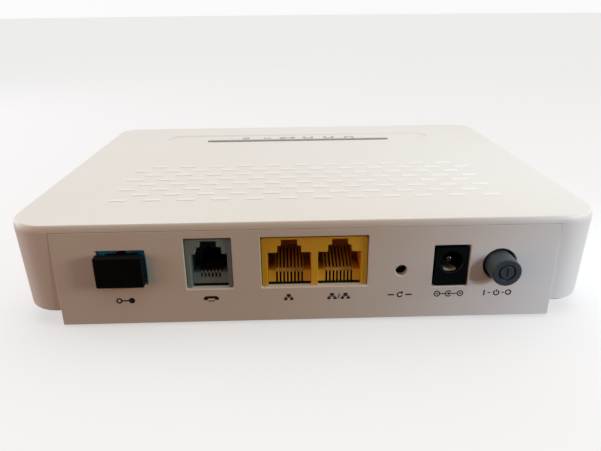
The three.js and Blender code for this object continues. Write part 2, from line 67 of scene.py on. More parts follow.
LID_HIGH = box_mm("top_cover")[1]
PANEL_LOW, PANEL_HIGH = box_mm("rear_panel")
BASE_Z = box_mm("bottom_case")[0].z
TOP_Z = LID_HIGH.z
DEPTH = LID_HIGH.y
HALF_WIDTH = LID_HIGH.x
LID_HEIGHT = 1.95
SEAM_Z = TOP_Z - LID_HEIGHT
CORNER_NEAR = 11.5
CORNER_FAR = 8.0
CORNER_STEPS = 20
WALL = 2.0
SIDE_DRAFT = math.tan(math.radians(2.3))
PEDESTAL_HALF = PANEL_HIGH.x
PEDESTAL_DEPTH = 113.7
PEDESTAL_HEIGHT = 4.0
TUB_BOTTOM = BASE_Z + PEDESTAL_HEIGHT
BOARD_TOP = box_mm("main_board")[1].z
BOARD_THICKNESS = 1.6

# ---------- Mesh tools ----------


def loop_rounded(half, y0, y1, near, far):
    """Corner points, counterclockwise from above, of a rectangle with round corners."""
    centres = [
        (half - near, y0 + near, near, -90),
        (half - far, y1 - far, far, 0),
        (far - half, y1 - far, far, 90),
        (near - half, y0 + near, near, 180),
    ]
    points = []
    for x, y, radius, start in centres:
        for i in range(CORNER_STEPS + 1):
            angle = math.radians(start + 90 * i / CORNER_STEPS)
            points.append((x + radius * math.cos(angle), y + radius * math.sin(angle)))
    return points


def housing_loop(inset):
    return loop_rounded(HALF_WIDTH - inset, inset, DEPTH - inset, CORNER_NEAR - inset, CORNER_FAR - inset)


def shifted(pairs, first, second):
    """Pairs of numbers, moved by one amount in the first and by another in the second."""
    return [(a + first, b + second) for a, b in pairs]


def rectangle(x0, x1, y0, y1):
    """A rectangle's corners, counterclockwise."""
    return [(x0, y0), (x1, y0), (x1, y1), (x0, y1)]


def round_corners(corners, radius, steps=6):
    """A polygon's outline with each corner replaced by an arc of about that radius."""
    points = []
    count = len(corners)
    for i, corner in enumerate(corners):
        here = Vector(corner)
        to_last = (Vector(corners[i - 1]) - here).normalized()
        to_next = (Vector(corners[(i + 1) % count]) - here).normalized()
        half_angle = to_last.angle(to_next) / 2
        reach = radius / math.tan(half_angle)
        centre = here + (to_last + to_next).normalized() * (radius / math.sin(half_angle))
        start = here + to_last * reach - centre
        end = here + to_next * reach - centre
        sweep = start.angle_signed(end)
        for k in range(steps + 1):
            turned = start.copy()
            turned.rotate(Matrix.Rotation(-sweep * k / steps, 2))
            points.append(tuple(centre + turned))
    return points


def skin(rings, closed=False):
    """A bmesh through rings of equal length. The first and last are capped unless it closes on itself."""
    bm = bmesh.new()
    made = [[bm.verts.new(point) for point in ring] for ring in rings]
    pairs = list(zip(made, made[1:]))
    if closed:
        pairs.append((made[-1], made[0]))
    for low, high in pairs:
        for i in range(len(low)):
            j = (i + 1) % len(low)
            bm.faces.new((low[i], low[j], high[j], high[i]))
    if not closed:
        bm.faces.new(list(reversed(made[0])))
        bm.faces.new(made[-1])
    bmesh.ops.recalc_face_normals(bm, faces=bm.faces)
    return bm


def stack(sections):
    """A solid through flat outlines, given as (z, outline) pairs."""
    return skin([[(x, y, z) for x, y in outline] for z, outline in sections])


def block(x, y, z):
    """A block from a (low, high) pair for each axis."""
    return stack([(height, rectangle(*x, *y)) for height in z])


def block_at(x, y, z, width, depth, height):
    """A block by its middle on X, its front in Y and its bottom in Z."""
    return block((x - width / 2, x + width / 2), (y, y + depth), (z, z + height))


def turned(centre, profile, axis="Y", sides=48):
    """A solid turned about Y or Z through centre, from (radius, height) pairs. Both ends are capped."""
    rings = []
    for radius, height in profile:
        ring = []
        for i in range(sides):
            angle = 2 * math.pi * i / sides
            a, b = radius * math.cos(angle), radius * math.sin(angle)
            offset = Vector((a, height, b)) if axis == "Y" else Vector((a, b, height))
            ring.append(tuple(centre + offset))
        rings.append(ring)
    return skin(rings)


def tube(points, radius, sides):
    """A round bar along points that share one X, with flat ends."""
    path = [Vector(p) for p in points]
    side = Vector((1, 0, 0))
    rings = []
    for i, here in enumerate(path):
        ahead = path[min(i + 1, len(path) - 1)] - path[max(i - 1, 0)]
        up = ahead.normalized().cross(side)
        ring = []
        for k in range(sides):
            angle = 2 * math.pi * (k + 0.5) / sides
            ring.append(tuple(here + radius * (math.cos(angle) * side + math.sin(angle) * up)))
        rings.append(ring)
    return skin(rings)


def merged(parts):
    """Several bmeshes as one, without joining their surfaces."""
    whole = bmesh.new()
    for part in parts:
        mesh = bpy.data.meshes.new("part")
        part.to_mesh(mesh)
        part.free()
        whole.from_mesh(mesh)
        bpy.data.meshes.remove(mesh)
    return whole


def pillars(places, profile, sides):
    """Upright round solids, one at each place, from (radius, height) pairs."""
    return merged([turned(Vector((p.x, p.y, 0)), profile, "Z", sides) for p in places])



def raw_object(name, bm):
    mesh = bpy.data.meshes.new(name)
    bm.to_mesh(mesh)
    bm.free()
    made = bpy.data.objects.new(name, mesh)
    bpy.context.scene.collection.objects.link(made)
    return made


def settle(made):
    """Replaces an object's mesh by what its modifiers make of it."""
    graph = bpy.context.evaluated_depsgraph_get()
    result = bpy.data.meshes.new_from_object(made.evaluated_get(graph))
    spent = made.data
    made.modifiers.clear()
    made.data = result
    bpy.data.meshes.remove(spent)


def combine(made, parts, operation):
    """Joins parts to an object, or cuts them out of it, one by one."""
    for part in parts:
        tool = raw_object("tool", part)
        step = made.modifiers.new("step", "BOOLEAN")
        step.operation = operation
        step.solver = "EXACT"
        step.object = tool
        settle(made)
        spent = tool.data
        bpy.data.objects.remove(tool)
        bpy.data.meshes.remove(spent)


def join(*parts):
    return "UNION", parts


def cut(*parts):
    return "DIFFERENCE", parts


def soften(made, width, segments):
    """Rounds the sharp edges. width is in millimetres."""
    step = made.modifiers.new("edges", "BEVEL")
    step.width = width
    step.segments = segments
    step.limit_method = "ANGLE"
    step.angle_limit = math.radians(30)
    step.use_clamp_overlap = True
    settle(made)


def piece(name, bm, material, body="case", stands_for=(), steps=(), edge=0, segments=2,
          smooth=35):
    """A finished visual piece: joined, cut, softened, shaded, moved into the frame and fixed to its body."""
    made = raw_object(name, bm)
    for operation, parts in steps:
        combine(made, parts, operation)
    if edge:
        soften(made, edge, segments)
    mesh = made.data
    mesh.shade_smooth()
    mesh.set_sharp_from_angle(angle=math.radians(smooth))
    step = made.modifiers.new("normals", "WEIGHTED_NORMAL")
    step.keep_sharp = True
    step.weight = 100
    settle(made)
    made.data.transform(Matrix.Scale(MM, 4) @ Matrix.Translation((0, PORT_FACE_Y, 0)))
    made.data.name = name
    made.data.materials.clear()
    made.data.materials.append(material)
    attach(made, body)
    if stands_for:
        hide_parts(*stands_for)
    return made


# ---------- Materials ----------

NOISE_LOW = 0.3
NOISE_HIGH = 0.7


def new_material(name):
    """A material, its node tree and the inputs of its main shader."""
    material = bpy.data.materials.new(name)
    material.use_nodes = True
    tree = material.node_tree
    return material, tree, tree.nodes["Principled BSDF"].inputs


def noise(tree, scale, detail=3.0, roughness=0.55, stretch=(1, 1, 1)):
    """Noise in the object's own metres: scale is features per metre."""
    place = tree.nodes.new("ShaderNodeTexCoord")
    spread = tree.nodes.new("ShaderNodeMapping")
    spread.inputs["Scale"].default_value = stretch
    texture = tree.nodes.new("ShaderNodeTexNoise")
    texture.inputs["Scale"].default_value = scale
    texture.inputs["Detail"].default_value = detail
    texture.inputs["Roughness"].default_value = roughness
    tree.links.new(place.outputs["Object"], spread.inputs["Vector"])
    tree.links.new(spread.outputs["Vector"], texture.inputs["Vector"])
    return texture.outputs["Fac"]


def ramp(tree, fac, stops):
    """A colour ramp from (position, colour) stops."""
    made = tree.nodes.new("ShaderNodeValToRGB")
    elements = made.color_ramp.elements
    elements[0].position, elements[0].color = stops[0]
    elements[1].position, elements[1].color = stops[-1]
    for position, colour in stops[1:-1]:
        elements.new(position).color = colour
    tree.links.new(fac, made.inputs["Fac"])
    return made.outputs["Color"]


def shade(colour, factor):
    return tuple(min(1.0, c * factor) for c in colour) + (1.0,)


def paint(tree, inputs, fac, dark, light):
    """A base colour that wanders between two tones."""
    tree.links.new(ramp(tree, fac, [(NOISE_LOW, dark), (NOISE_HIGH, light)]), inputs["Base Color"])


def polish(tree, inputs, fac, low, high):
    """A roughness that wanders between two values."""
    made = tree.nodes.new("ShaderNodeMapRange")
    made.inputs["From Min"].default_value = NOISE_LOW
    made.inputs["From Max"].default_value = NOISE_HIGH
    made.inputs["To Min"].default_value = low
    made.inputs["To Max"].default_value = high
    tree.links.new(fac, made.inputs["Value"])
    tree.links.new(made.outputs["Result"], inputs["Roughness"])


def emboss(tree, inputs, height, strength, depth):
    """Fine bumps, up to depth in millimetres."""
    bump = tree.nodes.new("ShaderNodeBump")
    bump.inputs["Strength"].default_value = strength
    bump.inputs["Distance"].default_value = depth * MM
    tree.links.new(height, bump.inputs["Height"])
    tree.links.new(bump.outputs["Normal"], inputs["Normal"])


def moulded(name, colour, roughness, grain=0.4, depth=0.006, tone=0.04, specular=0.5):
    """Moulded plastic: spark-eroded grain of a given size in mm, slight tone and gloss changes."""
    material, tree, inputs = new_material(name)
    paint(tree, inputs, noise(tree, 28, 4), shade(colour, 1 - tone), shade(colour, 1 + tone))
    polish(tree, inputs, noise(tree, 420, 5, 0.6), roughness - 0.05, roughness + 0.05)
    emboss(tree, inputs, noise(tree, 1000 / grain, 2), 0.6, depth)
    inputs["Specular IOR Level"].default_value = specular
    return material


def metal(name, colour, roughness, stretch=(1, 1, 1), grain=0.15):
    """Plated or drawn metal with fine tool marks along the least stretched direction."""
    material, tree, inputs = new_material(name)
    inputs["Metallic"].default_value = 1.0
    paint(tree, inputs, noise(tree, 160, 4), shade(colour, 0.86), shade(colour, 1.08))
    marks = noise(tree, 1000 / grain, 3, 0.6, stretch)
    polish(tree, inputs, marks, roughness - 0.07, roughness + 0.1)
    emboss(tree, inputs, marks, 0.5, 0.004)
    return material


def smoked_lens():
    material, tree, inputs = new_material("smoked_lens")
    paint(tree, inputs, noise(tree, 300), (0.22, 0.22, 0.19, 1), (0.27, 0.27, 0.235, 1))
    polish(tree, inputs, noise(tree, 2500, 2), 0.32, 0.44)
    inputs["Specular IOR Level"].default_value = 0.25
    return material


def board_material():
    """Solder mask over copper. A brick pattern stands in for the tracks."""
    material, tree, inputs = new_material("solder_mask")
    place = tree.nodes.new("ShaderNodeTexCoord")
    tracks = tree.nodes.new("ShaderNodeTexBrick")
    tracks.inputs["Scale"].default_value = 240
    tracks.inputs["Mortar Size"].default_value = 0.03
    tracks.inputs["Color1"].default_value = (0.012, 0.10, 0.04, 1)
    tracks.inputs["Color2"].default_value = (0.016, 0.125, 0.05, 1)
    tracks.inputs["Mortar"].default_value = (0.006, 0.055, 0.024, 1)
    tree.links.new(place.outputs["Object"], tracks.inputs["Vector"])
    tree.links.new(tracks.outputs["Color"], inputs["Base Color"])
    polish(tree, inputs, noise(tree, 900), 0.28, 0.42)
    emboss(tree, inputs, tracks.outputs["Fac"], 0.4, 0.03)
    return material


# The ribs are the lid's own plastic; their whiter colour is a painted highlight along the lit ribs.
RIB_PAINTED_HIGHLIGHT = moulded("rib_abs_painted_highlight", (0.91, 0.90, 0.865), 0.34, grain=0.28, tone=0.012)
SHELL = moulded("shell_abs", (0.80, 0.775, 0.72), 0.40, grain=0.28, depth=0.010, tone=0.012)
PANEL = moulded("panel_abs", (0.79, 0.765, 0.715), 0.44, grain=0.3, depth=0.012, tone=0.015)
YELLOW = moulded("jack_yellow", (0.82, 0.50, 0.045), 0.36)
GREY = moulded("jack_grey", (0.23, 0.32, 0.34), 0.42)
BLUE = moulded("fibre_blue", (0.013, 0.38, 0.93), 0.34, depth=0.005)
CAP_RUBBER = moulded("cap_rubber", (0.0022, 0.0030, 0.0034), 0.55, grain=0.35, depth=0.012, tone=0.15,
                     specular=0.12)
BLACK = moulded("inlet_nylon", (0.0035, 0.0055, 0.0065), 0.42, grain=0.35, depth=0.008, tone=0.1,
                specular=0.2)
DARK_NYLON = moulded("ramp_nylon", (0.030, 0.034, 0.034), 0.5, grain=0.35, tone=0.1)
BUTTON_PLASTIC = moulded("button_abs", (0.052, 0.070, 0.083), 0.36, grain=0.3, tone=0.06)
RUBBER = moulded("foot_rubber", (0.018, 0.018, 0.019), 0.75, depth=0.02, tone=0.15)
NYLON = moulded("white_nylon", (0.62, 0.60, 0.54), 0.42)
CHIP = moulded("chip_epoxy", (0.013, 0.013, 0.015), 0.5, grain=0.12, tone=0.12)
CERAMIC = moulded("ceramic", (0.74, 0.71, 0.62), 0.22, grain=0.5, depth=0.002)
SLEEVE = moulded("capacitor_sleeve", (0.02, 0.07, 0.28), 0.3, grain=0.9)
INK = moulded("print_ink", (0.012, 0.013, 0.02), 0.5, grain=0.15, depth=0.003, tone=0.2)
GREY_INK = moulded("lamp_ink", (0.20, 0.21, 0.19), 0.5, grain=0.15, depth=0.003, tone=0.1)
# Spring wires: the runs are coloured much darker than bronze as painted shade, and the bends pale as a
# painted glint on their real plating.
BRONZE_PAINTED_SHADE = metal("contact_bronze_painted_shade", (0.16, 0.085, 0.05), 0.34, stretch=(1, 0.1, 0.1))
PLATING_PAINTED_GLINT = metal("contact_plating_painted_glint", (0.98, 0.86, 0.74), 0.30, grain=0.3)
# Not a metal: the leaf lies in a dark bore, which a metal would mostly reflect. Its pale matt colour is the
# gilt's own hue, brightened into a painted glint.
GILT_AND_PAINTED_GLINT = moulded("leaf_gilt_painted_glint", (1.0, 0.84, 0.58), 0.32, grain=0.3, depth=0.004, tone=0.05)
PIN_STEEL = metal("pin_steel", (0.46, 0.44, 0.40), 0.15, grain=0.5)
STEEL = metal("plated_steel", (0.58, 0.58, 0.60), 0.30, stretch=(1, 0.08, 1))
ZINC = metal("screw_zinc", (0.50, 0.51, 0.53), 0.34, grain=0.3)
HEATSINK = metal("anodised", (0.045, 0.047, 0.052), 0.42, stretch=(1, 0.05, 1))
LENS = smoked_lens()
BOARD = board_material()

# ---------- Casing ----------

DASH = {"length": 5.6, "width": 1.35, "pitch": 10.2, "row_pitch": 5.27, "shift": 0.3,
        "first_row": 20.05, "rows": 8, "in_long_row": 12}
SCREWS = [middle(f"case_screw_{i}") for i in range(1, 5)]
FEET = [middle(f"foot_{i}") for i in range(1, 5)]
BOARD_SCREWS = [middle(f"board_screw_{i}") for i in range(1, 4)]


def lid_solid():
    """The lid with its rounded, leaning rim, and the lip that locates it in the tub."""
    inwards, upwards, lean = 0.6, 1.75, 0.075
    lip_outer, lip_inner, lip_bottom = 2.4, 3.6, SEAM_Z - 2.2
    profile = [(lip_inner, SEAM_Z), (lip_inner, lip_bottom), (lip_outer, lip_bottom), (lip_outer, SEAM_Z),
               (0.02, SEAM_Z), (0.0, SEAM_Z + 0.02)]
    for i in range(13):
        angle = math.pi / 2 * i / 12
        z = TOP_Z - upwards * (1 - math.sin(angle))
        profile.append((lean * (z - SEAM_Z) + inwards * (1 - math.cos(angle)), z))
    return skin([[(x, y, z) for x, y in housing_loop(inset)] for inset, z in profile])


def stadium(x, y, length, width, grow=0.0):
    """Outline of a slot with round ends."""
    radius = width / 2 + grow
    reach = length / 2 - width / 2
    points = []
    for side, start in ((1, -90), (-1, 90)):
        for i in range(7):
            angle = math.radians(start + 180 * i / 6)
            points.append((x + side * reach + radius * math.cos(angle), y + radius * math.sin(angle)))
    return points


def raised_dash(x, y):
    """A low domed rib with round ends, from pairs of its height and half its width there."""
    half = DASH["width"] / 2
    dome = [(-0.3, 0.84), (0.0, 0.84), (0.08, 0.81), (0.16, 0.72), (0.22, 0.54), (0.25, 0.30), (0.26, 0.06)]
    return stack([(TOP_Z + z, stadium(x, y, DASH["length"], DASH["width"], reach - half))
                  for z, reach in dome])


def raised_dashes():
    """The pattern of ribs on the lid. Every second row has one rib less. Their whiter colour than the lid's
    is a painted highlight.
    """
    dashes = []
    for row in range(DASH["rows"]):
        count = DASH["in_long_row"] - row % 2
        y = DASH["first_row"] + row * DASH["row_pitch"]
        for i in range(count):
            dashes.append(raised_dash((i - (count - 1) / 2) * DASH["pitch"] + DASH["shift"], y))
    return piece("lid_ribs", merged(dashes), RIB_PAINTED_HIGHLIGHT, smooth=40)


LENS_LOW, LENS_HIGH = box_mm("light_guide")
LENS_Y = (LENS_LOW.y + LENS_HIGH.y) / 2
LENS_LENGTH = LENS_HIGH.x - LENS_LOW.x
LENS_WIDTH = 2.4
LENS_PROUD = 0.25
LENS_GAP = 0.2
TRAY_DEPTH = 0.4


def lamp_tray(grow):
    """Outline of the shallow tray around the lens bar, wider at the far side."""
    near_y, far_y = 93.6, 109.2
    near_half, far_half = 51.6, 57.4
    corners = [(-near_half - grow, near_y - grow), (near_half + grow, near_y - grow),
               (far_half + grow, far_y - 6), (far_half - 3, far_y + grow),
               (-far_half + 3, far_y + grow), (-far_half - grow, far_y - 6)]
    return round_corners(corners, 2.5 + grow, 8)


def tray_cutter():
    """The tray as a tool, from pairs of its height above the lid and how far the outline is grown."""
    sections = [(-TRAY_DEPTH, -0.75), (-0.37, -0.45), (-0.2, 0.0), (-0.03, 0.45), (0.02, 0.75), (0.1, 1.2)]
    return stack([(TOP_Z + z, lamp_tray(grow)) for z, grow in sections])


def top_cover():
    posts = pillars(SCREWS, [(2.8, BASE_Z + 12.3), (3.0, BASE_Z + 12.5), (3.0, SEAM_Z + 0.4)], 32)
    pilots = pillars(SCREWS, [(1.55, BASE_Z), (1.55, BASE_Z + 23)], 20)
    opening = stadium(0, LENS_Y, LENS_LENGTH + LENS_GAP, LENS_WIDTH + LENS_GAP)
    slot = stack([(z, opening) for z in (SEAM_Z - 3, TOP_Z + 1)])
    return piece("lid", lid_solid(), SHELL, stands_for=["top_cover"], smooth=32,
                 steps=[join(posts), cut(pilots, tray_cutter(), slot)])


def taper(z):
    """How far the side wall has moved inwards at height z."""
    return (SEAM_Z - z) * SIDE_DRAFT


def tub_solid():
    edge = 0.5
    sections = []
    for i in range(7):
        angle = math.pi / 2 * i / 6
        z = TUB_BOTTOM + edge * (1 - math.cos(angle))
        sections.append((z, housing_loop(taper(z) + edge * (1 - math.sin(angle)))))
    rim = SEAM_Z - 0.01
    sections += [(rim - 0.02, housing_loop(taper(rim))), (rim, housing_loop(taper(rim) + 0.02))]
    return stack(sections)


def pedestal_loop(inset):
    return loop_rounded(PEDESTAL_HALF - inset, inset, PEDESTAL_DEPTH - inset, 0.5, 8 - inset)


def label_recess():
    return stack([(BASE_Z + z, round_corners(rectangle(-18, 18, 4.5, 36), 1.5)) for z in (-1, 0.3)])


def vent_slots():
    return merged([stack([(z, stadium(side * 27, 43 + i * 5, 34, 2)) for z in (-1, 4)])
                   for side in (-1, 1) for i in range(9)])


def keyhole(side):
    """A wall-mounting hole: a round head with a narrower slot towards the ports."""
    x, y, radius = side * 42, 27.0, 4.0
    outline = []
    for i in range(33):
        angle = math.radians(-90 + 31.7 + (360 - 63.4) * i / 32)
        outline.append((x + radius * math.cos(angle), y + radius * math.sin(angle)))
    outline += [(x - 2.1, 20.6), (x - 1.5, 20.0), (x + 1.5, 20.0), (x + 2.1, 20.6)]
    return stack([(-1, outline), (4, outline)])


def bottom_case():
    """The tub on its pedestal, with what holds the lid, the board, the port panel and the feet."""
    floor = TUB_BOTTOM + WALL
    pedestal = stack([(BASE_Z, pedestal_loop(0.35)), (BASE_Z + 0.1, pedestal_loop(0.1)),
                      (BASE_Z + 0.35, pedestal_loop(0)), (TUB_BOTTOM + 1, pedestal_loop(0))])
    inner = stack([(floor, housing_loop(taper(floor) + WALL)), (SEAM_Z + 1, housing_loop(WALL))])
    inner_pedestal = stack([(z, pedestal_loop(WALL)) for z in (BASE_Z + WALL, floor + 1)])
    opening = block((-66.5, 66.5), (-1, 4.5), (BASE_Z + 4.5, TOP_Z))
    jambs = merged([block_at(side * 69, 1.6, TUB_BOTTOM + 0.5, 5, 2.6, 20) for side in (-1, 1)])
    sill = block((-67.5, 67.5), (2.3, 3.8), (BASE_Z + 0.5, BASE_Z + 4.5))
    bosses = pillars(SCREWS, [(3.8, BASE_Z + 0.1), (3.8, BASE_Z + 12)], 32)
    standoffs = pillars(BOARD_SCREWS, [(3, BASE_Z + 1), (3, BOARD_TOP - BOARD_THICKNESS)], 32)
    slot_half = PEDESTAL_HALF + 0.03
    panel_slot = block((-slot_half, slot_half), (-1, PANEL_HIGH.y + 0.05), (-1, TOP_Z))
    wells = pillars(SCREWS, [(3.7, -1), (3.7, BASE_Z), (3.1, BASE_Z + 0.5), (3.1, BASE_Z + 3)], 40)
    bores = pillars(SCREWS, [(1.6, BASE_Z + 2), (1.6, BASE_Z + 13)], 24)
    rests = pillars(FEET, [(5.15, -1), (5.15, BASE_Z + 0.6)], 48)
    pilots = pillars(BOARD_SCREWS, [(1.4, BASE_Z + 3.5), (1.4, BOARD_TOP)], 20)
    keyholes = merged([keyhole(-1), keyhole(1)])
    return piece("tub", tub_solid(), SHELL, stands_for=["bottom_case"], smooth=32,
                 steps=[join(pedestal), cut(inner, inner_pedestal, opening),
                        join(jambs, sill, bosses, standoffs),
                        cut(panel_slot, wells, bores, rests, pilots, vent_slots(), keyholes, label_recess())])


# ---------- Where the ports are ----------

FIBRE_X = middle("dust_cap").x
FIBRE_Z = middle("ferrule_sleeve").z
PHONE_X = middle("phone_jack").x
NETWORK_X = middle("network_jack").x
NETWORK_PITCH = 13.97
NETWORK_PORTS = [NETWORK_X - NETWORK_PITCH / 2, NETWORK_X + NETWORK_PITCH / 2]
RESET = middle("reset_plunger")
PIN = middle("inlet_pin")
BUTTON_LOW, BUTTON_HIGH = box_mm("power_button")
BUTTON = (BUTTON_LOW + BUTTON_HIGH) / 2
JACK_LOW = box_mm("network_jack")[0]
SILL_Z = BASE_Z + 10.4
LINTEL_Z = BASE_Z + 25.6
OPENING_RADIUS = 0.3


def on_panel(point):
    """The point's place on the port panel's outer face."""
    return Vector((point.x, 0, point.z))


def grown_rectangle(x0, x1, z0, z1):
    """An outline in X and Z, as a function of how far it is grown."""
    def outline(grow):
        corners = rectangle(x0 - grow, x1 + grow, z0 - grow, z1 + grow)
        return round_corners(corners, max(OPENING_RADIUS + grow, 0.05), 5)
    return outline


def grown_circle(x, z, radius, steps=72):
    def outline(grow):
        angles = [2 * math.pi * i / steps for i in range(steps)]
        return [(x + (radius + grow) * math.cos(a), z + (radius + grow) * math.sin(a)) for a in angles]
    return outline


def plate(outer, openings, thickness, edge, outer_edge):
    """A flat plate standing in X and Z, its front at Y 0, with rounded edges around it and its openings."""
    levels = [(edge * (1 - math.cos(a)), 1 - math.sin(a)) for a in (math.pi / 12 * i for i in range(7))]
    levels += [(thickness - 0.1, 0.0), (thickness, 0.4)]
    bm = bmesh.new()
    rings = []
    for y, cut_back in levels:
        loops = [outer(-cut_back * outer_edge)] + [opening(cut_back * edge) for opening in openings]
        rings.append([[bm.verts.new((x, y, z)) for x, z in loop] for loop in loops])
    for near, far in zip(rings, rings[1:]):
        for a, b in zip(near, far):
            for i in range(len(a)):
                j = (i + 1) % len(a)
                bm.faces.new((a[i], a[j], b[j], b[i]))
    for level in (rings[0], rings[-1]):
        flat = [vert for loop in level for vert in loop]
        for triangle in tessellate_polygon([[vert.co for vert in loop] for loop in level]):
            bm.faces.new([flat[i] for i in triangle])
    bmesh.ops.recalc_face_normals(bm, faces=bm.faces)
    return bm


def rear_panel():
    openings = [
        grown_rectangle(FIBRE_X - 6.8, FIBRE_X + 6.8, BASE_Z + 12.1, BASE_Z + 22.5),
        grown_rectangle(PHONE_X - 6.5, PHONE_X + 6.5, SILL_Z, LINTEL_Z),
        grown_rectangle(NETWORK_X - 14.8, NETWORK_X + 14.8, SILL_Z, LINTEL_Z),
        grown_circle(RESET.x, RESET.z, 1.65, 40),
        grown_rectangle(PIN.x - 5.2, PIN.x + 4.9, BASE_Z + 9.6, BASE_Z + 22.2),
        grown_circle(BUTTON.x, BUTTON.z, 4.65),
    ]
    outer = grown_rectangle(-PEDESTAL_HALF, PEDESTAL_HALF, PANEL_LOW.z, PANEL_HIGH.z)
    return piece("port_panel", plate(outer, openings, PANEL_HIGH.y, 0.28, 0.15), PANEL,
                 stands_for=["rear_panel"])


def light_bar():
    """The smoked bar in the lid, with its flange under the lid and one leg down to each lamp."""
    bar = stack([(z, stadium(0, LENS_Y, LENS_LENGTH, LENS_WIDTH))
                 for z in (SEAM_Z - 0.6, LENS_HIGH.z + LENS_PROUD)])
    flange = stack([(z, stadium(0, LENS_Y, LENS_LENGTH, 3.2)) for z in (SEAM_Z - 1.5, SEAM_Z - 0.2)])
    legs = []
    for i in range(1, 7):
        lamp = middle(f"lamp_{i}")
        narrow = round_corners(rectangle(lamp.x - 1.1, lamp.x + 1.1, LENS_Y - 1, LENS_Y + 1), 0.4, 3)
        legs.append(stack([(LENS_LOW.z, narrow), (SEAM_Z - 1.2, narrow)]))
    return piece("light_bar", bar, LENS, stands_for=["light_guide"],
                 steps=[join(flange, merged(legs))], edge=0.12)


def foot(index):
    """A rubber foot with a rounded rim and a dished middle."""
    low, high = box_mm(f"foot_{index}")
    underside = [(1.6, 0.22), (2.6, 0.16), (3.4, 0.03), (3.8, 0), (4.3, 0.03), (4.7, 0.18), (4.92, 0.42),
                 (5.0, 0.75)]
    profile = shifted(underside, 0, low.z) + [(5.0, high.z)]
    return piece(f"rubber_foot_{index}", pillars([FEET[index - 1]], profile, 56), RUBBER,
                 stands_for=[f"foot_{index}"], smooth=50)


def case_screw(index):
    """A pan head with a cross recess, seen from below, and a threaded shank going up."""
    at = SCREWS[index - 1]
    head = BASE_Z + 1
    tip = BASE_Z + 21
    core, crest = 1.02, 1.3
    profile = shifted([(1.2, 0.02), (2.0, 0.1), (2.5, 0.4), (2.73, 0.9), (2.75, 1.9), (core, 1.9)], 0, head)
    z = head + 2.4
    while z < tip - 1.6:
        profile += shifted([(core, 0), (crest, 0.3), (core, 0.6)], 0, z)
        z += 0.9
    profile += [(0.95, tip - 1.2), (0.25, tip)]
    cross = []
    for a, b in ((1.5, 0.35), (0.35, 1.5)):
        levels = [(head - 0.5, 1), (head + 1, 1.7)]
        cross.append(stack([(z, rectangle(at.x - a / thin, at.x + a / thin, at.y - b / thin, at.y + b / thin))
                            for z, thin in levels]))
    return piece(f"cross_screw_{index}", pillars([at], profile, 28), ZINC,
                 stands_for=[f"case_screw_{index}"], steps=[cut(*cross)], smooth=40)


# ---------- Modular jacks ----------


def mouth_outline(x, width, step_width, notch_width):
    """Front outline, in X and Z, of the stepped mouth of a modular jack."""
    low = JACK_LOW.z + 1.5
    a, b, c = width / 2, step_width / 2, notch_width / 2
    z1, z2, z3 = BASE_Z + 20.6, BASE_Z + 22.65, BASE_Z + 24.4
    right = [(a, low), (a, z1), (b, z1), (b, z2), (c, z2), (c, z3)]
    return [(x + u, z) for u, z in right] + [(x - u, z) for u, z in reversed(right)]


def along_y(outline, levels):
    """A solid through outlines in X and Z, given as (y, grow) pairs around the outline's middle."""
    xs = [p[0] for p in outline]
    zs = [p[1] for p in outline]
    cx, cz = (min(xs) + max(xs)) / 2, (min(zs) + max(zs)) / 2
    rings = []
    for y, grow in levels:
        rings.append([(x + grow * math.copysign(1, x - cx), y, z + grow * math.copysign(1, z - cz))
                      for x, z in outline])
    return skin(rings)


def jack_body(name, node, x_ports, shape, material):
    low, high = box_mm(node)
    outline = round_corners(rectangle(low.x, high.x, low.z, high.z), 0.7, 5)
    body = along_y(outline, [(low.y, 0), (high.y, 0)])
    heel = block((low.x - 1, high.x + 1), (low.y - 1, PANEL_HIGH.y + 0.1), (low.z - 1, SILL_Z + 0.1))
    mouths, gates, throats = [], [], []
    for x in x_ports:
        outline = mouth_outline(x, shape["width"], shape["step"], shape["notch"])
        mouths.append(along_y(outline, [(low.y - 1, 0), (low.y + shape["depth"], 0)]))
        half = shape["width"] / 2
        gates.append(block((x - half, x + half), (low.y - 1, low.y + shape["gate"]), (low.z - 1, low.z + 4)))
        throats.append(block((x - half, x + half), (low.y - 0.5, low.y + 7), (low.z - 1, low.z + 3)))
    return piece(name, body, material, stands_for=[node],
                 steps=[cut(merged(mouths), merged(gates), merged(throats), heel)], edge=0.2,
                 segments=3)


CONTACT_PITCH = 1.016
NETWORK_SHAPE = {"width": 12.1, "step": 6.6, "notch": 4.5, "depth": 13.5, "gate": 2.2, "contacts": 8}
PHONE_SHAPE = {"width": 10.2, "step": 7.2, "notch": 4.6, "depth": 12.5, "gate": 2.2, "contacts": 6}
COMB_LOW = BASE_Z + 11.9
COMB_TOP = BASE_Z + 14.1
RAMP_TOP = BASE_Z + 17.2
COMB_FRONT = JACK_LOW.y + 2.2
SLOT_HALF = 0.27
WIRE_RADIUS = 0.16
BEND_RADIUS = 0.19


def contact_places(x, shape):
    count = shape["contacts"]
    return [x + (i - (count - 1) / 2) * CONTACT_PITCH for i in range(count)]


def half_span(shape):
    """Half the width that a jack's contacts take up."""
    return shape["contacts"] / 2 * CONTACT_PITCH


def extruded_x(x0, x1, profile):
    """A solid between two planes of X, from an outline in Y and Z."""
    return skin([[(x, y, z) for y, z in profile] for x in (x0, x1)])


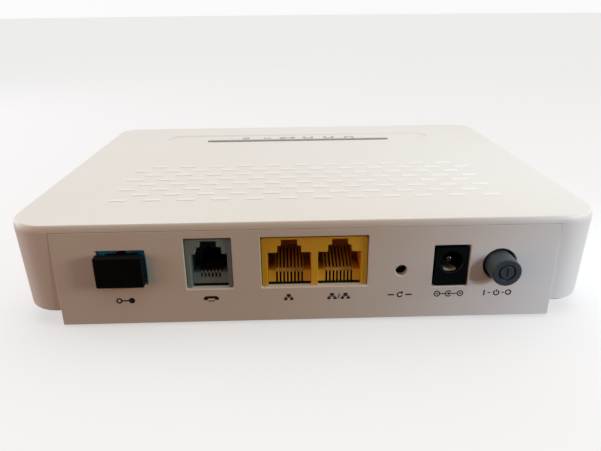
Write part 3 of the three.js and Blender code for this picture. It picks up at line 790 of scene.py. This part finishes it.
def comb(name, x, shape, material, node, closed_below=False):
    """The moulded insert: a slotted comb at the mouth and a shelf behind it."""
    back = JACK_LOW.y + shape["depth"] - 0.1
    half = shape["width"] / 2 - 0.1
    span = half_span(shape)
    shelf = extruded_x(x - half, x + half, [
        (COMB_FRONT, COMB_LOW), (back, COMB_LOW), (back, COMB_TOP - 1.6), (COMB_FRONT + 1.2, COMB_TOP - 0.1),
        (COMB_FRONT, COMB_TOP)])
    apron = block((x - half, x + half), (COMB_FRONT, COMB_FRONT + 1.6), (COMB_LOW - 1.2, COMB_LOW + 0.2))
    bottom = slots_bottom(closed_below)
    slots = [block((place - SLOT_HALF, place + SLOT_HALF), (COMB_FRONT - 1, COMB_FRONT + 1),
                   (bottom, COMB_TOP + 2)) for place in contact_places(x, shape)]
    pocket = block((x - span, x + span), (COMB_FRONT + 0.62, COMB_FRONT + 1.58), (bottom, COMB_TOP - 0.45))
    ramp_seat = block((x - span - 0.02, x + span + 0.02), (COMB_FRONT + 0.72, back - 0.5),
                      (COMB_TOP - 0.45, COMB_TOP + 2))
    steps = [join(apron), cut(merged(slots)), cut(pocket), cut(ramp_seat)]
    return piece(name, shelf, material, stands_for=[node], steps=steps, edge=0.06)


def wire_ramp(name, x, shape, material):
    """The ramp of ribs between the wires, rising from the comb to the back of the jack."""
    back = JACK_LOW.y + shape["depth"] - 0.1
    span = half_span(shape)
    profile = [(COMB_FRONT + 0.75, COMB_TOP - 0.44), (back, COMB_TOP - 0.44), (back, RAMP_TOP),
               (back - 1.0, RAMP_TOP)] + shifted([(1.0, 0.3), (0.75, 0.1)], COMB_FRONT, COMB_TOP)
    groove = shifted([(0, -0.35), (1.6, -0.35)], COMB_FRONT, COMB_TOP)
    groove += shifted([(-1.6, -1.5), (-0.9, -1.0), (-0.9, 1)], back, RAMP_TOP)
    groove.append((COMB_FRONT, RAMP_TOP + 1))
    grooves = [extruded_x(place - SLOT_HALF, place + SLOT_HALF, groove) for place in contact_places(x, shape)]
    body = extruded_x(x - span, x + span, profile)
    return piece(name, body, material, steps=[cut(merged(grooves))], edge=0.06)


def slots_bottom(closed_below):
    return COMB_LOW + 0.7 if closed_below else COMB_LOW - 2


def painted_shade_bed(name, x, shape, closed_below=False):
    """A black bar behind the comb's teeth, with a round groove for each wire: painted shade that makes the
    slots read dark.
    """
    bottom = max(slots_bottom(closed_below), COMB_LOW - 1.15)
    span = half_span(shape) - 0.03
    bar = block((x - span, x + span), (COMB_FRONT + 0.65, COMB_FRONT + 1.55), (bottom, COMB_TOP - 0.5))
    grooves = [tube([(place, COMB_FRONT + 0.6, z) for z in (bottom - 1, COMB_TOP)], 0.24, 12)
               for place in contact_places(x, shape)]
    return piece(name, bar, BLACK, steps=[cut(merged(grooves))], edge=0.04)


def spring_wires(name, x, shape):
    """Round spring wires that lie in the ramp's grooves, coloured dark as painted shade, and their bends
    behind the comb's teeth, coloured pale as a painted glint.
    """
    back = JACK_LOW.y + shape["depth"]
    bend = shifted([(0.72, -0.62), (0.66, -0.3), (0.78, -0.05), (1.1, 0.12), (1.5, 0.2)],
                   COMB_FRONT, COMB_TOP)
    run = [(COMB_FRONT + 1.5, COMB_TOP + 0.14)]
    run += shifted([(-2.6, -0.85), (-1.9, -0.6), (-1.2, -0.55)], back, RAMP_TOP)
    places = contact_places(x, shape)
    bends = [tube([(place, y, z) for y, z in bend], BEND_RADIUS, 12) for place in places]
    runs = [tube([(place, y, z) for y, z in run], WIRE_RADIUS, 10) for place in places]
    piece(f"{name}_bends", merged(bends), PLATING_PAINTED_GLINT, smooth=60)
    return piece(name, merged(runs), BRONZE_PAINTED_SHADE, smooth=60)


# ---------- Fibre port ----------


def fibre_port():
    low, high = box_mm("fibre_receptacle")
    front = low.y
    body = block_at(FIBRE_X, front, FIBRE_Z - 4.6, 12.8, high.y - front, 9.2)
    ears = block_at(FIBRE_X, 8, FIBRE_Z - 3.2, 16.6, 2.2, 6.4)
    legs = [block_at(FIBRE_X + side * 4.9, 9, BOARD_TOP, 2.4, 9, 3) for side in (-1, 1)]
    mouth = block_at(FIBRE_X, front - 1, FIBRE_Z - 3.75, 9.2, 13.5, 7.5)
    keyway = block_at(FIBRE_X, front - 1, FIBRE_Z + 3, 2.2, 10, 3)
    bore = turned(Vector((FIBRE_X, 0, FIBRE_Z)), [(2.5, front + 10), (2.5, front + 18)], "Y", 40)
    return piece("fibre_port", body, BLUE, stands_for=["fibre_receptacle"],
                 steps=[join(ears, merged(legs)), cut(mouth, keyway, bore)],
                 edge=0.25, segments=3)


def dust_cap():
    """The soft plug in the fibre port: a thick rounded flange, a hollow stem and its key."""
    outline = round_corners(rectangle(FIBRE_X - 6.45, FIBRE_X + 6.45, FIBRE_Z - 4.5, FIBRE_Z + 4.5), 0.5)
    levels = [(-3.0, -0.42), (-2.96, -0.24), (-2.86, -0.09), (-2.7, 0.0), (-0.6, 0.0), (-0.42, -0.06),
              (-0.33, -0.18), (-0.3, -0.4)]
    flange = along_y(outline, levels)
    stem = block_at(FIBRE_X, -0.6, FIBRE_Z - 3.4, 8.5, 10.1, 6.8)
    key = block_at(FIBRE_X, 1, FIBRE_Z + 3.2, 1.6, 8, 1)
    hollow = turned(Vector((FIBRE_X, 0, FIBRE_Z)), [(2.9, 2), (2.9, 11)], "Y", 40)
    return piece("port_cap", flange, CAP_RUBBER, body="fibre_cap",
                 stands_for=["dust_cap"], steps=[join(stem, key), cut(hollow)], smooth=40)


# ---------- Power inlet, button and reset ----------


def inlet():
    low, high = box_mm("inlet_body")
    front = 0.4
    body = block((low.x, high.x), (front, high.y), (low.z, high.z))
    bore = turned(on_panel(PIN), [(3.4, front - 0.5), (3.4, front), (3.15, front + 0.25), (3.15, 11)],
                  sides=64)
    spring_slot = block_at(PIN.x, 1.5, PIN.z - 4.8, 4.3, 14.0, 2.7)
    pin_hole = turned(on_panel(PIN), [(1.3, 10), (1.3, 16)], sides=32)
    return piece("inlet_shell", body, BLACK, stands_for=["inlet_body"],
                 steps=[cut(bore, spring_slot, pin_hole)], edge=0.12)


def centre_pin():
    low, high = box_mm("inlet_pin")
    tip = [(0.12, 0), (0.36, 0.05), (0.62, 0.17), (0.84, 0.36), (0.99, 0.65), (1.05, 1.05)]
    profile = shifted(tip, 0, low.y) + [(1.05, high.y)]
    pin = turned(on_panel(PIN), profile)
    return piece("centre_pin", pin, PIN_STEEL, stands_for=["inlet_pin"], smooth=50)


def spring_leaf():
    """The bent leaf that rubs on the plug's barrel: a trough that follows the bore."""
    high = box_mm("inlet_spring")[1]
    bottom = PIN.z - 4.45
    middle_x = PIN.x + 0.2
    thickness = 0.28
    line = shifted([(1.85, 0.1), (2.0, 0.4), (2.2, 0.75), (2.5, 1.05), (3.0, 1.25), (3.7, 1.25), (4.9, 0.85),
                    (6.5, 0.3), (9.0, 0.05), (high.y, 0)], 0, bottom)
    under = shifted(line[:4], thickness * 0.7, -thickness * 0.5) + shifted(line[4:], 0, -thickness)
    profile = under + list(reversed(line))
    width = 3.5
    trough = 3.4
    rings = []
    for i in range(13):
        u = width * (i / 12 - 0.5)
        lift = trough - math.sqrt(trough ** 2 - u ** 2)
        rings.append([(middle_x + u, y, z + lift) for y, z in profile])
    return piece("spring_leaf", skin(rings), GILT_AND_PAINTED_GLINT, stands_for=["inlet_spring"],
                 smooth=50)


def button_cap():
    radius = 4.0
    rim = 0.42
    front = BUTTON_LOW.y
    face = shifted([(0.6, 0.1), (1.8, 0.1), (1.86, 0.14), (1.89, 0.6), (2.33, 0.6), (2.36, 0.04), (2.44, 0),
                    (radius - rim, 0)], 0, front)
    shoulder = []
    for i in range(1, 9):
        angle = math.pi / 2 * i / 8
        shoulder.append((radius - rim + rim * math.sin(angle), front + rim * (1 - math.cos(angle))))
    back = BUTTON_HIGH.y
    skirt = [(radius, back - 0.2), (radius - 0.2, back)]
    cap = turned(on_panel(BUTTON), face + shoulder + skirt, sides=96)
    bar = stack([(-0.3, stadium(0, 0, 2.5, 0.6)), (1.0, stadium(0, 0, 2.5, 0.6, 0.02))])
    bar.transform(Matrix.Translation((BUTTON.x, front, BUTTON.z)) @ Matrix.Rotation(math.pi / 2, 4, "X")
                  @ Matrix.Rotation(math.pi / 2, 4, "Z"))
    socket = block_at(BUTTON.x, 2, BUTTON.z - 1.8, 3.6, 8, 3.6)
    return piece("button_cap", cap, BUTTON_PLASTIC, body="power_key",
                 stands_for=["power_button"], steps=[cut(bar, socket)], smooth=32)


def reset_key():
    low, high = box_mm("reset_plunger")
    tip = [(0.3, 0), (1.1, 0.03), (1.4, 0.15), (1.55, 0.4), (1.6, 0.7)]
    profile = shifted(tip, 0, low.y) + [(1.6, high.y)]
    return piece("reset_key_tip", turned(on_panel(RESET), profile, sides=40), NYLON, body="reset_key",
                 stands_for=["reset_plunger"], smooth=40)


# ---------- Printed signs ----------

INK_THICKNESS = 0.03
SIGN_ROW_Z = BASE_Z + 7.35


def sign_shape(outline):
    return stack([(-INK_THICKNESS, outline), (INK_THICKNESS, outline)])


def sign_bar(u0, v0, u1, v1, width):
    """A straight stroke with square ends."""
    a, b = Vector((u0, v0)), Vector((u1, v1))
    along = (b - a).normalized() * (width / 2)
    side = Vector((-along.y, along.x))
    return sign_shape([tuple(a - side), tuple(b - side), tuple(b + side), tuple(a + side)])


def sign_dot(u, v, radius):
    return turned(Vector((u, v, 0)), [(radius, -INK_THICKNESS), (radius, INK_THICKNESS)], "Z", 28)


def sign_ring(u, v, radius, width, start=0, sweep=360):
    """A ring, or a part of one, drawn with a pen of that width."""
    steps = 36
    angles = [math.radians(start + sweep * i / steps) for i in range(steps + (sweep < 360))]
    outer, inner = ([(u + r * math.cos(a), v + r * math.sin(a)) for a in angles]
                    for r in (radius + width / 2, radius - width / 2))
    if sweep < 360:
        return sign_shape(outer + list(reversed(inner)))
    low, high = -INK_THICKNESS, INK_THICKNESS
    levels = [(outer, low), (outer, high), (inner, high), (inner, low)]
    return skin([[(x, y, z) for x, y in loop] for loop, z in levels], closed=True)


def network_tree(u):
    """A box over two boxes, joined by lines: the usual sign for a local network."""
    boxes = [sign_bar(u, 0.25, u, 0.95, 1.15), sign_bar(u - 0.85, -0.95, u - 0.85, -0.35, 0.95),
             sign_bar(u + 0.85, -0.95, u + 0.85, -0.35, 0.95)]
    lines = [sign_bar(u - 1.0, -0.03, u + 1.0, -0.03, 0.26)]
    drops = [sign_bar(u, 0.35, u, 0.0, 0.3), sign_bar(u - 0.85, 0.0, u - 0.85, -0.45, 0.3),
             sign_bar(u + 0.85, 0.0, u + 0.85, -0.45, 0.3)]
    return boxes, lines, drops


def sign_layers():
    """Signs under the ports as layers of strokes. Strokes of one layer don't touch each other."""
    first, second, third = [], [], []

    def put(layer, made, x):
        for part in made:
            part.transform(Matrix.Translation((x, SIGN_ROW_Z, 0)))
            layer.append(part)

    put(first, [sign_ring(-1.75, 0, 0.66, 0.4), sign_dot(1.75, 0, 0.86)], FIBRE_X + 0.05)
    put(second, [sign_bar(-1.1, 0, 1.3, 0, 0.4)], FIBRE_X + 0.05)

    handset = [(-2.15, -0.3), (-2.1, 0.35), (-1.5, 0.85), (1.5, 0.85), (2.1, 0.35), (2.15, -0.3),
               (1.05, -0.4), (0.9, 0.1), (-0.9, 0.1), (-1.05, -0.4)]
    put(first, [sign_shape(list(reversed(handset)))], PHONE_X + 0.1)
    put(first, [sign_dot(u, -0.68, 0.22) for u in (-0.62, 0, 0.62)], PHONE_X + 0.1)

    left_x, right_x = NETWORK_PORTS[0] - 0.35, NETWORK_PORTS[1] - 0.25
    for u, x in ((0, left_x), (-1.9, right_x), (1.9, right_x)):
        boxes, lines, drops = network_tree(u)
        put(first, boxes, x)
        put(third, lines, x)
        put(second, drops, x)
    put(first, [sign_bar(-0.2, -0.8, 0.2, 0.8, 0.28)], right_x)

    put(first, [sign_ring(0, 0, 0.68, 0.38, 60, 280)], RESET.x - 0.1)
    put(second, [sign_shape([(-0.1, 0.62), (0.85, 0.15), (0.82, 1.15)])], RESET.x - 0.1)
    put(first, [sign_bar(side * 1.6, 0, side * 3.4, 0, 0.42) for side in (-1, 1)], RESET.x - 0.1)

    put(first, [sign_ring(-3.3, 0, 0.76, 0.32), sign_ring(3.3, 0, 0.76, 0.32), sign_dot(0, 0, 0.36),
                sign_ring(0, 0, 0.84, 0.32, 40, 280)], PIN.x - 0.2)
    put(second, [sign_bar(-2.6, 0, -0.78, 0, 0.3), sign_bar(0.2, 0, 2.6, 0, 0.3),
                 sign_bar(-3.6, 0, -3.0, 0, 0.24), sign_bar(3.0, 0, 3.6, 0, 0.24)], PIN.x - 0.2)
    put(third, [sign_bar(3.3, -0.3, 3.3, 0.3, 0.24)], PIN.x - 0.2)

    put(first, [sign_bar(-3.5, -0.85, -3.5, 0.85, 0.42), sign_ring(3.4, 0, 0.7, 0.38),
                sign_ring(0, -0.05, 0.74, 0.36, 125, 290), sign_bar(-2.5, 0, -1.7, 0, 0.3),
                sign_bar(1.5, 0, 2.2, 0, 0.3)], BUTTON.x + 0.05)
    put(first, [sign_bar(0, 0.15, 0, 1.0, 0.34)], BUTTON.x + 0.05)
    return first, second, third


def panel_signs():
    """Thin ink signs on the port panel."""
    layers = [merged(layer) for layer in sign_layers()]
    for layer in layers:
        layer.transform(Matrix.Rotation(math.pi / 2, 4, "X"))
    return piece("port_signs", layers[0], INK, steps=[join(*layers[1:])], smooth=30)


def lamp_signs():
    """Six small dark signs on the lid, one beyond each lamp: power, line, link, network, network, phone."""
    v = LENS_Y + 4.6
    pen = 0.75
    power = [sign_ring(-22.8, v, 1.15, pen, 125, 290), sign_bar(-22.8, v + 0.3, -22.8, v + 1.7, pen)]
    line = [sign_dot(-13.4, v, 0.55), sign_ring(-13.4, v, 1.25, 0.5, -50, 100),
            sign_ring(-13.4, v, 1.25, 0.5, 130, 100)]
    link = [sign_ring(-6.6, v, 1.1, pen), sign_bar(-5.1, v, -3.3, v, pen), sign_dot(-2.3, v, 1.15)]
    ports = []
    for u in (4.5, 13.6):
        ports += [sign_bar(u + side, v + 0.2, u + side, v + 1.5, 1.3) for side in (-1.7, 1.7)]
        ports.append(sign_bar(u - 2.1, v - 1.0, u + 2.1, v - 1.0, pen))
    phone = [sign_ring(22.5, v - 1.3, 2.2, 0.8, 28, 124), sign_bar(20.4, v - 1.0, 21.4, v - 1.0, 0.9),
             sign_bar(23.6, v - 1.0, 24.6, v - 1.0, 0.9)]
    made = merged(power + line + link + ports + phone)
    made.transform(Matrix.Translation((0, 0, TOP_Z - TRAY_DEPTH)))
    return piece("lamp_signs", made, GREY_INK, smooth=30)


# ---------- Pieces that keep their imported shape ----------

CARRIED = {
    "main_board": BOARD, "board_screw": ZINC, "ferrule_sleeve": CERAMIC, "optical_module": STEEL,
    "power_switch": NYLON, "switch_stem": NYLON, "reset_switch": CHIP, "main_processor": CHIP,
    "heatsink": HEATSINK, "memory_chip": CHIP, "flash_chip": CHIP, "optical_driver_chip": CHIP,
    "shield_can": STEEL, "phone_line_chip": CHIP, "network_transformer": CHIP, "capacitor": SLEEVE,
    "inductor": CHIP, "crystal": STEEL, "lamp": CERAMIC,
}


def dress_carried_nodes():
    for name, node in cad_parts.items():
        for prefix, material in CARRIED.items():
            if name.startswith(prefix):
                node.data.materials.clear()
                node.data.materials.append(material)
                break


top_cover()
raised_dashes()
bottom_case()
rear_panel()
light_bar()
for number in range(1, 5):
    foot(number)
    case_screw(number)
jack_body("network_shell", "network_jack", NETWORK_PORTS, NETWORK_SHAPE, YELLOW)
for number, port_x in enumerate(NETWORK_PORTS, 1):
    comb(f"network_comb_{number}", port_x, NETWORK_SHAPE, YELLOW, f"network_contacts_{number}")
    painted_shade_bed(f"network_wire_bed_{number}", port_x, NETWORK_SHAPE)
    wire_ramp(f"network_ramp_{number}", port_x, NETWORK_SHAPE, YELLOW)
    spring_wires(f"network_wires_{number}", port_x, NETWORK_SHAPE)
jack_body("phone_shell", "phone_jack", [PHONE_X], PHONE_SHAPE, GREY)
comb("phone_comb", PHONE_X, PHONE_SHAPE, GREY, "phone_contacts", closed_below=True)
painted_shade_bed("phone_wire_bed", PHONE_X, PHONE_SHAPE, closed_below=True)
wire_ramp("phone_ramp", PHONE_X, PHONE_SHAPE, DARK_NYLON)
spring_wires("phone_wires", PHONE_X, PHONE_SHAPE)
fibre_port()
dust_cap()
inlet()
centre_pin()
spring_leaf()
button_cap()
reset_key()
panel_signs()
lamp_signs()
dress_carried_nodes()

# ---------- Floor, light and camera ----------


def set_apart(made):
    """Stage pieces are seen by the camera and take shadows, but send no light back to the object."""
    made.visible_diffuse = made.visible_glossy = False
    made.visible_transmission = made.visible_shadow = False


def stage_material(name, glow):
    """A pale matt surface that glows a little, so that it looks evenly lit."""
    material, tree, inputs = new_material(name)
    paint(tree, inputs, noise(tree, 3), (0.42, 0.42, 0.42, 1), (0.43, 0.43, 0.43, 1))
    inputs["Roughness"].default_value = 0.9
    inputs["Specular IOR Level"].default_value = 0.0
    inputs["Emission Color"].default_value = (1, 1, 1, 1)
    inputs["Emission Strength"].default_value = glow
    material.cycles.emission_sampling = "NONE"
    return material


STAGE_REACH = 8
STAGE_SIDES = 64


def seen_from_above_only(material):
    """Lets the camera look through the floor from below."""
    nodes, links = material.node_tree.nodes, material.node_tree.links
    side = nodes.new("ShaderNodeNewGeometry")
    clear = nodes.new("ShaderNodeBsdfTransparent")
    choice = nodes.new("ShaderNodeMixShader")
    links.new(side.outputs["Backfacing"], choice.inputs["Fac"])
    links.new(nodes["Principled BSDF"].outputs["BSDF"], choice.inputs[1])
    links.new(clear.outputs["BSDF"], choice.inputs[2])
    links.new(choice.outputs["Shader"], nodes["Material Output"].inputs["Surface"])
    return material


def stage_ring(radius, z):
    angles = [2 * math.pi * k / STAGE_SIDES for k in range(STAGE_SIDES)]
    return [(radius * math.cos(t), radius * math.sin(t), z) for t in angles]


def backdrop():
    """A pale floor out to the horizon, and a pale dome around it. Sizes are in metres."""
    bm = bmesh.new()
    rings = [[bm.verts.new(point) for point in stage_ring(radius, 0)]
             for radius in (0.3, 0.6, 1.2, 2.5, 5, STAGE_REACH)]
    centre = bm.verts.new((0.0, 0.0, 0.0))
    for i in range(STAGE_SIDES):
        j = (i + 1) % STAGE_SIDES
        bm.faces.new((centre, rings[0][i], rings[0][j]))
        for inner, outer in zip(rings, rings[1:]):
            bm.faces.new((inner[i], outer[i], outer[j], inner[j]))
    ground = raw_object("floor", bm)
    ground.data.materials.append(seen_from_above_only(stage_material("pale_floor", 0.52)))
    set_apart(ground)
    heights = [math.pi / 2 * i / 12.5 for i in range(-12, 12)]
    dome = raw_object("dome", skin([stage_ring(STAGE_REACH * math.cos(angle), STAGE_REACH * math.sin(angle))
                                    for angle in heights]))
    dome.data.shade_smooth()
    dome.data.materials.append(stage_material("pale_dome", 0.92))
    set_apart(dome)


def sky():
    """Soft light that the object gets: white from above and from behind, and a little from below."""
    world = bpy.data.worlds.new("studio")
    bpy.context.scene.world = world
    world.use_nodes = True
    tree = world.node_tree
    place = tree.nodes.new("ShaderNodeTexCoord")

    def lobe(direction, stops, colour):
        """Light around one direction, from (cosine of the angle away from it, level) stops."""
        facing = tree.nodes.new("ShaderNodeVectorMath")
        facing.operation = "DOT_PRODUCT"
        facing.inputs[1].default_value = direction
        tree.links.new(place.outputs["Generated"], facing.inputs[0])
        return ramp(tree, facing.outputs["Value"], [(at, shade(colour, level)) for at, level in stops])

    lobes = [lobe((0, 0, 1), [(0.25, 0), (1, 1)], (0.195, 0.195, 0.192)),
             lobe((0.2, 0.75, 0.63), [(0.15, 0), (0.5, 0.6), (0.8, 1)], (0.532, 0.523, 0.513)),
             lobe((0, 0, -1), [(0.6, 0), (0.9, 1)], (0.1, 0.1, 0.1))]
    total = lobes[0]
    for other in lobes[1:]:
        joined = tree.nodes.new("ShaderNodeVectorMath")
        joined.operation = "ADD"
        tree.links.new(total, joined.inputs[0])
        tree.links.new(other, joined.inputs[1])
        total = joined.outputs["Vector"]
    background = tree.nodes["Background"].inputs
    tree.links.new(total, background["Color"])
    background["Strength"].default_value = 2.0


def light(name, kind, place, target, power, colour):
    """A light that shines from a place to a target, both in metres, and can't itself be seen."""
    data = bpy.data.lights.new(name, kind)
    data.energy = power
    data.color = colour
    made = bpy.data.objects.new(name, data)
    bpy.context.scene.collection.objects.link(made)
    made.location = place
    made.rotation_euler = (Vector(target) - Vector(place)).to_track_quat("-Z", "Y").to_euler()
    made.visible_camera = False
    return data


def soft_box(name, place, target, size, power, colour):
    data = light(name, "AREA", place, target, power, colour)
    data.shape = "SQUARE"
    data.size = size


def soft_spot(name, place, target, cone, power, colour):
    data = light(name, "SPOT", place, target, power, colour)
    data.spot_size = math.radians(cone)
    data.spot_blend = 1.0
    data.shadow_soft_size = 0.06


CAMERA_PLACE = Vector((-5.308, -196.909, 83.578))
CAMERA_YAW = 0.02517
CAMERA_PITCH = -0.375816
CAMERA_ROLL = -0.010408
SENSOR_WIDTH = 36
FOCAL_LENGTH = 32.9451


def camera():
    """A phone camera's view from above the port side. Its angles are in radians."""
    level = math.cos(CAMERA_PITCH)
    forward = Vector((math.sin(CAMERA_YAW) * level, math.cos(CAMERA_YAW) * level, math.sin(CAMERA_PITCH)))
    right = Vector((math.cos(CAMERA_YAW), -math.sin(CAMERA_YAW), 0))
    up = right.cross(forward)
    side = math.cos(CAMERA_ROLL) * right + math.sin(CAMERA_ROLL) * up
    top = math.cos(CAMERA_ROLL) * up - math.sin(CAMERA_ROLL) * right
    data = bpy.data.cameras.new("camera")
    data.sensor_fit = "HORIZONTAL"
    data.sensor_width = SENSOR_WIDTH
    data.lens = FOCAL_LENGTH
    data.clip_start = 0.005
    data.clip_end = 100
    made = bpy.data.objects.new("camera", data)
    bpy.context.scene.collection.objects.link(made)
    turn = Matrix((side, top, -forward)).transposed().to_4x4()
    made.matrix_world = Matrix.Translation(CAMERA_PLACE * MM) @ turn
    bpy.context.scene.camera = made


backdrop()
sky()
soft_box("rim", (-0.60, 0.16, 0.10), (-0.08, 0.0, 0.015), 0.3, 1.36, (1.0, 0.87, 0.98))
soft_box("left", (-0.60, -0.16, 0.12), (-0.08, 0.0, 0.015), 0.3, 0.76, (0.90, 1.0, 0.98))
soft_box("right", (0.45, -0.22, 0.12), (0.0, -0.05, 0.015), 0.15, 0.92, (1.0, 0.84, 0.62))
soft_box("warm", (-0.42, -0.38, 0.10), (-0.05, -0.06, 0.01), 0.3, 0.5, (1.0, 0.28, 0.05))
soft_spot("window", (0.30, -0.30, 0.12), (0.120, -0.055, 0.012), 18.5, 10.4, (0.53, 0.71, 0.98))
camera()
bpy.context.scene.view_settings.view_transform = "Standard"
